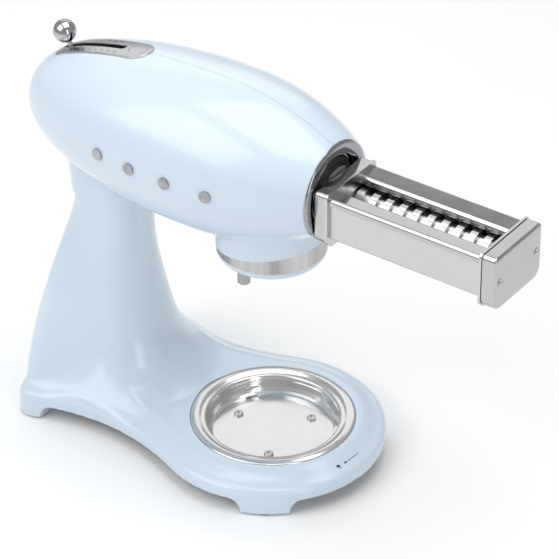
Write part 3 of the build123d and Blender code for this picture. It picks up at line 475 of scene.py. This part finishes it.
def cut(target, cutter):
    """Takes the cutter's mesh away from the target's, and removes the cutter."""
    change = target.modifiers.new("cut", "BOOLEAN")
    change.operation = "DIFFERENCE"
    change.solver = "EXACT"
    change.object = cutter
    bake(target)
    bpy.data.objects.remove(cutter)


def bake(target):
    """Replaces the object's mesh by what its modifiers make of it."""
    bpy.context.view_layer.update()
    made = bpy.data.meshes.new_from_object(
        target.evaluated_get(bpy.context.evaluated_depsgraph_get())
    )
    target.modifiers.clear()
    target.data = made


def prism(outline, low, high, axis="Y"):
    """A closed prism over an outline of points in mm, from low to high along an axis."""
    n = len(outline)
    spread = {"Y": lambda a, b, t: (a, t, b), "Z": lambda a, b, t: (a, b, t)}[axis]
    verts = [spread(a, b, t) for t in (low, high) for a, b in outline]
    faces = [tuple(range(n)), tuple(reversed(range(n, 2 * n)))]
    faces += [(i, i + n, (i + 1) % n + n, (i + 1) % n) for i in range(n)]
    return solid("cutter", verts, faces)


def lathe(profile, sides, centre=(0, 0), axis="Z"):
    """A closed turned solid: profile points are (radius, height) in mm, from axis to axis."""
    ring = [p for p in profile if p[0] > 1e-6]
    ends = (profile[0], profile[-1])
    turn = {
        "Z": lambda r, h, a: (centre[0] + r * cos(a), centre[1] + r * sin(a), h),
        "X": lambda r, h, a: (h, centre[0] + r * cos(a), centre[1] + r * sin(a)),
    }[axis]
    verts = [turn(r, h, 2 * pi * k / sides) for r, h in ring for k in range(sides)]
    verts += [turn(0, end[1], 0) for end in ends]
    faces = []
    for i in range(len(ring) - 1):
        for k in range(sides):
            m = (k + 1) % sides
            faces.append(
                (i * sides + k, i * sides + m, (i + 1) * sides + m, (i + 1) * sides + k)
            )
    first, last = len(verts) - 2, len(verts) - 1
    top = (len(ring) - 1) * sides
    faces += [(first, (k + 1) % sides, k) for k in range(sides)]
    faces += [(last, top + k, top + (k + 1) % sides) for k in range(sides)]
    return solid("cutter", verts, faces)


def solid(name, verts, faces, material=None):
    """A closed mesh given in drawing mm, with its faces turned outwards."""
    obj = new_object(name, [to_frame(v) for v in verts], faces, material, False)
    work = bmesh.new()
    work.from_mesh(obj.data)
    bmesh.ops.recalc_face_normals(work, faces=work.faces)
    work.to_mesh(obj.data)
    work.free()
    return obj


def to_frame(point):
    """From drawing mm, with the bowl's axis at x 0 and the head's at AXIS_HEIGHT, to metres."""
    return (point[0] * MM + BOWL_X, point[1] * MM, (point[2] - AXIS_HEIGHT) * MM + HEAD_Z)


def skin(name, field, low, high, step, material):
    """The surface of a field given in drawing mm, as an object."""
    points, faces = grown(field, low, high, step)
    points = points * MM + np.array([BOWL_X, 0, HEAD_Z - AXIS_HEIGHT * MM])
    return new_object(name, points, faces, material)


def crisp(obj, degrees=32):
    """Smooth shading, with edges sharper than degrees left sharp."""
    obj.data.shade_smooth()
    obj.data.set_sharp_from_angle(angle=radians(degrees))


# ---------------------------------------------------------------- head and base skins
AXIS_HEIGHT = 305.0
HALF_WIDTH, HALF_HEIGHT = 82.9, 74.4
REAR_TIP, FATTEST, NOSE = -264.4, -63.0, 71.9
NOSE_SHARE = 0.56
REAR_POWER, FRONT_POWER = 2 / 0.87, 2.38
RIM_X = 68.0
SHELL = 3.0
NECK_FOOT, NECK_RISE, NECK_FILLET = 205, 57, 3.5
BOSS_R, BOSS_FILLET = 51.5, 2.0


def egg_field(x, y, z):
    """The head's egg: an oval whose rear and nose close by powers of their own."""
    up = z - AXIS_HEIGHT
    rho = np.sqrt((y / HALF_WIDTH) ** 2 + (up / HALF_HEIGHT) ** 2) + 1e-9
    lean = np.sqrt((y / HALF_WIDTH**2) ** 2 + (up / HALF_HEIGHT**2) ** 2) / rho
    back = np.clip((FATTEST - x) / (FATTEST - REAR_TIP), 0, None)
    rear = rho**REAR_POWER + back**2 - 1
    rear_slope = np.hypot(
        2 * back / (FATTEST - REAR_TIP), REAR_POWER * rho ** (REAR_POWER - 1) * lean
    )
    along = np.clip((x - FATTEST) / (NOSE - FATTEST), 0, None)
    front = rho - 1 + (1 - NOSE_SHARE) * along**FRONT_POWER
    front_slope = np.hypot(
        lean, (1 - NOSE_SHARE) * FRONT_POWER * along ** (FRONT_POWER - 1) / (NOSE - FATTEST)
    )
    return np.where(x < FATTEST, rear / np.maximum(rear_slope, 1e-4), front / front_slope)


def tapered_field(x, y, rear, front, half_rear, half_front, corner_rear, corner_front):
    """A level section of the column: a trapezium with round corners."""
    slope = (half_front - half_rear) / (front - rear)
    side = (np.abs(y) - half_rear - slope * (x - rear)) / np.sqrt(1 + slope**2)
    return np.maximum(
        both_round(side, rear - x, corner_rear), both_round(side, x - front, corner_front)
    )


def neck_field(x, y, z):
    """The skirt under the head, which widens upwards."""
    grow = np.clip((z - NECK_FOOT) / NECK_RISE, 0, 1.5) * 3
    return tapered_field(x, y, -214 - grow, -144.5 + grow, 33.5 + grow, 32 + grow, 20, 27)


def head_outer(x, y, z):
    """The egg, with the skirt and the planetary's round boss under it."""
    neck = np.maximum(neck_field(x, y, z), z - AXIS_HEIGHT)
    body = either_round(egg_field(x, y, z), neck, NECK_FILLET)
    boss = np.maximum(np.hypot(x, y) - BOSS_R, z - AXIS_HEIGHT)
    return either_round(body, boss, BOSS_FILLET)


def head_field(x, y, z):
    """The +Y half of the head's shell, left a little too long to be cut to its edges."""
    outer = head_outer(x, y, z)
    ends = np.maximum(np.maximum(206 - z, -3 - y), x - 75)
    return np.maximum(np.maximum(outer, -outer - SHELL), ends)


PARTING_FRONT, PARTING_REAR = -140.5, -180.0
PARTING_LOW, PARTING_HIGH = 208.8, 216.8
PARTING_STEPS = 24
BEHIND_NECK, BEFORE_NECK, OVER_NECK = -274.0, -80.0, 300.0


def parting_rise(offset):
    """The line between the column and the head's skirt, seen from the side: it rises to the rear."""
    points = []
    for i in range(PARTING_STEPS + 1):
        t = i / PARTING_STEPS
        x = PARTING_FRONT + (PARTING_REAR - PARTING_FRONT) * t
        rise = (PARTING_HIGH - PARTING_LOW) * t * t * (3 - 2 * t)
        points.append((x, PARTING_LOW + offset + rise))
    return points + [(BEHIND_NECK, PARTING_HIGH + offset)]


def parting_outline(offset):
    """The side view of all that is above that line."""
    over = [(BEHIND_NECK, OVER_NECK), (BEFORE_NECK, OVER_NECK), (BEFORE_NECK, PARTING_LOW + offset)]
    return parting_rise(offset) + over


def slot_ring(radius):
    """The speed lever's slot seen from above."""
    rear, front = -229.3, -164.4
    half_turn = np.linspace(pi / 2, 3 * pi / 2, 13)
    ahead = np.linspace(rear, front, 14)[1:-1]
    points = [(rear + radius * cos(a), radius * sin(a)) for a in half_turn]
    points += [(x, -radius) for x in ahead]
    points += [(front - radius * cos(a), -radius * sin(a)) for a in half_turn]
    return points + [(x, radius) for x in ahead[::-1]]


def egg_top(x, y):
    """Height of the egg's upper side behind its fattest section."""
    back = (FATTEST - x) / (FATTEST - REAR_TIP)
    share = (1 - back**2) ** (1 / REAR_POWER)
    return AXIS_HEIGHT + HALF_HEIGHT * np.sqrt(share**2 - (y / HALF_WIDTH) ** 2)


BAND_TILT, BAND_MIDDLE = radians(9.0), 232.0
SEAM = 0.18

half = skin(
    "head_half", head_field, (-268, -4.5, 204), (78, 87, 383), 1.5, materials["blue"]
)
cut(half, prism([(-300, 100), (100, 100), (100, 400), (-300, 400)], -30, SEAM))
cut(half, prism([(RIM_X, 100), (120, 100), (120, 400), (RIM_X, 400)], -120, 120))
SKIRT_GAP = 0.5
skirt_line = [(-90, PARTING_LOW + SKIRT_GAP)] + parting_rise(SKIRT_GAP)
below = prism([(-300, 150), (-90, 150), *skirt_line, (-300, PARTING_HIGH + SKIRT_GAP)], -120, 120)
cut(half, below)
dx = 90 * cos(BAND_TILT)
dz = 90 * sin(BAND_TILT)
under_band = [(-dx, BAND_MIDDLE - dz), (dx, BAND_MIDDLE + dz), (dx, 150), (-dx, 150)]
cut(half, prism(under_band, -120, 120))
cut(half, prism(slot_ring(3.9), 330, 400, "Z"))
crisp(half)
half.name = "head_skin_left"
other = half.copy()
other.data = half.data.copy()
other.name = "head_skin_right"
bpy.context.scene.collection.objects.link(other)
work = bmesh.new()
work.from_mesh(other.data)
bmesh.ops.scale(work, vec=(1, -1, 1), verts=work.verts)
bmesh.ops.reverse_faces(work, faces=work.faces)
work.to_mesh(other.data)
work.free()
crisp(other)
for piece, node in ((half, "head_shell_left"), (other, "head_shell_right")):
    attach(piece, "head")
    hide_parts(node)

# the speed lever's plate, a drawn sheet that follows the egg
PLATE_RISE, PLATE_SLOT = 1.1, 3.5
PLATE_TAIL_X, PLATE_TAIL_HALF, PLATE_CORNER = -222.5, 9, 4


def capsule_field(x, y, rear, front, radius):
    """A flat bar with round ends, seen from above."""
    return np.hypot(x - np.clip(x, rear, front), y) - radius


def plate_field(x, y, z):
    """A bar with a round front and a squarer tail, its top a little above the egg."""
    across, along = np.abs(y) - 10.25, np.abs(x - PLATE_TAIL_X) - PLATE_TAIL_HALF
    corner = np.hypot(np.maximum(across, 0), np.maximum(along, 0))
    square = corner + np.minimum(np.maximum(across, along), 0) - PLATE_CORNER
    outline = np.minimum(capsule_field(x, y, -216, -148, 15), square)
    egg_here = egg_field(x, y, z)
    body = both_round(outline, egg_here - PLATE_RISE, 0.7)
    slot = PLATE_SLOT - capsule_field(x, y, -228.7, -165, 0)
    body = both_round(body, slot, 0.3)
    return np.maximum(np.maximum(body, 0.03 - egg_here), 330 - z)


plate_steel = special["speed_plate"]
plate = skin("speed_plate_skin", plate_field, (-238, -17, 338), (-130, 17, 382), 0.6, plate_steel)
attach(plate, "head")
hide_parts("speed_plate")

# the lock's spring, copied onto the base with a mesh of its own; the real one shortens as its button
# is pressed
coil = nodes["lock_spring"].copy()
coil.data = nodes["lock_spring"].data.copy()
coil.name = "lock_spring_coil"
bpy.context.scene.collection.objects.link(coil)
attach(coil, "base")
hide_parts("lock_spring")
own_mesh(coil)

# a black tube under the lever's slot: a dark sheet that stands in for the shade inside the head
SHADE_LINER_OUT, SHADE_LINER_IN, SHADE_LINER_DROP = 3.8, 3.2, 11.0
outline = slot_ring(SHADE_LINER_OUT), slot_ring(SHADE_LINER_IN)
count = len(outline[0])
tops = [(x, y, egg_top(x, y) - 0.15) for ring in outline for x, y in ring]
loops = [(x, y, z - SHADE_LINER_DROP) for x, y, z in tops[:count]] + tops
loops += [(x, y, z - SHADE_LINER_DROP) for x, y, z in tops[count:]]
shade_liner_faces = [
    (near + k, near + (k + 1) % count, far + (k + 1) % count, far + k)
    for near, far in ((0, count), (count, 2 * count), (2 * count, 3 * count), (3 * count, 0))
    for k in range(count)
]
shade_liner = solid("slot_shade_liner", loops, shade_liner_faces, materials["black_plastic"])
crisp(shade_liner)
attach(shade_liner, "head")

# column: heights, then rear, front, half-width at the rear and at the front
HEIGHTS = (20, 45, 75, 107, 139, 156, 171, 190, 205, 225)
COLUMN = {
    "rear": (-238, -236, -231.5, -227, -223, -221, -219, -216.5, -214, -213.5),
    "front": (-117, -119, -126, -135, -142.5, -144.5, -146, -146.5, -145.5, -144.5),
    "half_rear": (93, 88.5, 83, 75, 63, 54, 44, 36.5, 33.8, 33.4),
    "half_front": (40, 36, 33, 31.5, 31, 31, 31, 31.5, 32, 32),
}
COLUMN_CURVES = {key: np.polyfit(HEIGHTS, values, 5) for key, values in COLUMN.items()}

# the base in plan: its front disc, its waist and its rear edge
DISC_X, DISC_R = -3, 109.4
WAIST_X, WAIST_HALF, WAIST_BEND = -132, 83, 0.0024
REAR_X, REAR_BEND, REAR_CORNER = -237.2, 0.00026, 24

# its heights, and what is hollow in it
EDGE_TOP, TOP_RISE, EDGE_ROUND = 21.6, 7.4, 6.5
HEM_LOW, FOOT_LOW, FOOT_BEND = 8.5, -5.4, 11
FRONT_FOOT_TURN, FRONT_FOOT_HALF, FRONT_FOOT_FROM = radians(57), 23, 50
REAR_FOOT_X, REAR_FOOT_Y = -206, 64
BASE_WALL, POCKET_TOP = 3.6, 12.2
COLUMN_FLOOR, COLUMN_TOP = 154, 221
WELL_R = 66.7
DISH_FLOOR, DISH_BORE, LEDGE, LEDGE_R, RIM_LEDGE, RIM_R = 11.2, 64.0, 25.5, 68.0, 27.4, 77.9


def column_field(x, y, z):
    level = np.clip(z, 15, 226)
    rear, front, half_rear, half_front = (
        np.polyval(COLUMN_CURVES[key], level)
        for key in ("rear", "front", "half_rear", "half_front")
    )
    return tapered_field(x, y, rear, front, half_rear, half_front, 20, 26)


def outline_field(x, y):
    """The base in plan: a round front, a waist that is a parabola, and a rear with round corners."""
    width = WAIST_HALF + WAIST_BEND * (x - WAIST_X) ** 2
    waist = (np.abs(y) - width) / np.sqrt(1 + (2 * WAIST_BEND * (x - WAIST_X)) ** 2)
    disc = np.hypot(x - DISC_X, y) - DISC_R
    share = eased(x, -50, -40)
    side = waist * (1 - share) + disc * share
    return both_round(side, REAR_X + REAR_BEND * y * y - x, REAR_CORNER)


def foot_field(x, y):
    """The four feet in plan: two at an angle under the front disc, two at the rear corners."""
    turn = FRONT_FOOT_TURN
    out = (x - DISC_X) * cos(turn) + np.abs(y) * sin(turn)
    across = -(x - DISC_X) * sin(turn) + np.abs(y) * cos(turn)
    front = np.maximum(np.abs(across) - FRONT_FOOT_HALF, FRONT_FOOT_FROM - out)
    rear = np.maximum(REAR_FOOT_Y - np.abs(y), x - REAR_FOOT_X)
    return np.minimum(front, rear)


def base_field(x, y, z):
    """Base, column and feet, with the pocket underneath and the column's hollow top taken out."""
    edge = outline_field(x, y)
    top = EDGE_TOP + TOP_RISE * eased(-edge, 3, 27)
    fillet = 6 + 46 * eased(x, -222, -150)
    body = both_round(edge, either_round(column_field(x, y, z), z - top, fillet), EDGE_ROUND)
    foot = foot_field(x, y)
    arch = np.sqrt(1 - (1 - np.clip(foot / FOOT_BEND, 0, 1)) ** 2)
    low = FOOT_LOW + (HEM_LOW - FOOT_LOW) * arch
    body = both_round(body, (low - z) * 0.8, 1.0)
    pad = np.maximum(foot - 3, -edge - 21)
    pocket = np.maximum(np.maximum(edge + BASE_WALL, -pad), z - POCKET_TOP)
    pocket = np.maximum(pocket, WELL_R - np.hypot(x, y))
    inner = np.maximum(column_field(x, y, z) + BASE_WALL, COLUMN_FLOOR - z)
    return np.maximum(np.maximum(np.maximum(body, -pocket), -inner), z - COLUMN_TOP)


base_enamel = enamel("base_enamel", BLUE, lock_marks)
base = skin("base_skin", base_field, (-242, -114, -10), (111, 114, 224), 1.9, base_enamel)
dish_pocket = [
    (0, DISH_FLOOR),
    (DISH_BORE, DISH_FLOOR),
    (DISH_BORE, LEDGE),
    (LEDGE_R, LEDGE),
    (LEDGE_R, RIM_LEDGE),
    (RIM_R, RIM_LEDGE),
    (RIM_R + 0.4, RIM_LEDGE + 1.8),
    (RIM_R + 0.4, 40),
    (0, 40),
]
cut(base, lathe(dish_pocket, 128))
cut(base, prism(parting_outline(0.0), -60, 60))
# room behind the hinge for the skirt, which swings down as the head goes up
WEDGE_TOP, WEDGE_FRONT, WEDGE_REAR, WEDGE_SLOPE = 217.2, -204.0, -234.0, 0.6745
wedge = [
    (WEDGE_FRONT, WEDGE_TOP),
    (WEDGE_REAR, WEDGE_TOP),
    (WEDGE_REAR, WEDGE_TOP - (WEDGE_FRONT - WEDGE_REAR) * WEDGE_SLOPE),
    (WEDGE_FRONT, WEDGE_TOP - 1),
]
cut(base, prism(wedge, -60, 60))
BUTTON_R, BUTTON_Z = 8.3, 178.0
button_hole = [(0, -230), (BUTTON_R, -230), (BUTTON_R, -200), (0, -200)]
cut(base, lathe(button_hole, 48, (0, BUTTON_Z), "X"))
crisp(base)
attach(base, "base")
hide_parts("base_casting")

# ---------------------------------------------------------------- floor, light and camera
FLOOR_HALF = 9.0
floor_mesh = bpy.data.meshes.new("floor")
floor_mesh.from_pydata(
    [(x * FLOOR_HALF, y * FLOOR_HALF, 0) for x, y in ((-1, -1), (1, -1), (1, 1), (-1, 1))],
    [],
    [(0, 1, 2, 3)],
)
floor = bpy.data.objects.new("floor", floor_mesh)
bpy.context.scene.collection.objects.link(floor)
floor_graph = Graph("pale_floor")
floor_shades = [(0.3, (0.95, 0.95, 0.95)), (0.7, (0.97, 0.97, 0.97))]
floor_noise = floor_graph.noise(floor_graph.coords, 3, 2)
floor_graph.plug(Base_Color=floor_graph.ramp(floor_noise, floor_shades))
floor_graph.set(Roughness=0.6)
floor_mesh.materials.append(floor_graph.material)


def area_light(name, place, target, size, power):
    """A white soft box at place, turned to target."""
    data = bpy.data.lights.new(name, "AREA")
    data.shape = "RECTANGLE"
    data.size, data.size_y = size
    data.energy = power
    light = bpy.data.objects.new(name, data)
    light.location = place
    light.rotation_euler = (Vector(target) - Vector(place)).to_track_quat("-Z", "Y").to_euler()
    bpy.context.scene.collection.objects.link(light)


MIDDLE = (0, 0, 0.2)
area_light("key_softbox", (-0.9, -1.5, 1.9), MIDDLE, (2.0, 1.7), 23)
area_light("top_softbox", (0.1, 0.2, 2.2), MIDDLE, (1.9, 1.7), 24)
area_light("right_strip", (1.9, -0.9, 0.9), MIDDLE, (0.5, 1.6), 6)
area_light("rear_softbox", (-1.25, 1.7, 1.45), MIDDLE, (2.0, 1.2), 5)

world = bpy.data.worlds.new("studio")
world.use_nodes = True
world.node_tree.nodes["Background"].inputs["Color"].default_value = (1, 1, 1, 1)
world.node_tree.nodes["Background"].inputs["Strength"].default_value = 0.45
bpy.context.scene.world = world
bpy.context.scene.view_settings.view_transform = "Standard"

CAMERA_AZIMUTH, CAMERA_ELEVATION, CAMERA_ROLL = 35.76, 34.18, -0.23
CAMERA_DISTANCE, CAMERA_LENS = 2.758, 195.4
azimuth, elevation = radians(CAMERA_AZIMUTH), radians(CAMERA_ELEVATION)
back = Vector((sin(azimuth) * cos(elevation), -cos(azimuth) * cos(elevation), sin(elevation)))
camera_data = bpy.data.cameras.new("camera")
camera_data.lens = CAMERA_LENS
camera_data.sensor_width = 36.0
camera_data.clip_end = 60.0
camera = bpy.data.objects.new("camera", camera_data)
LOOK_AHEAD, LOOK_HEIGHT = 0.0082, 0.1857
look = Vector((BOWL_X + LOOK_AHEAD, 0, HEAD_Z - AXIS_HEIGHT * MM + LOOK_HEIGHT))
camera.matrix_world = (
    Matrix.Translation(look + back * CAMERA_DISTANCE)
    @ back.to_track_quat("Z", "Y").to_matrix().to_4x4()
    @ Matrix.Rotation(radians(CAMERA_ROLL), 4, "Z")
)
bpy.context.scene.collection.objects.link(camera)
bpy.context.scene.camera = camera
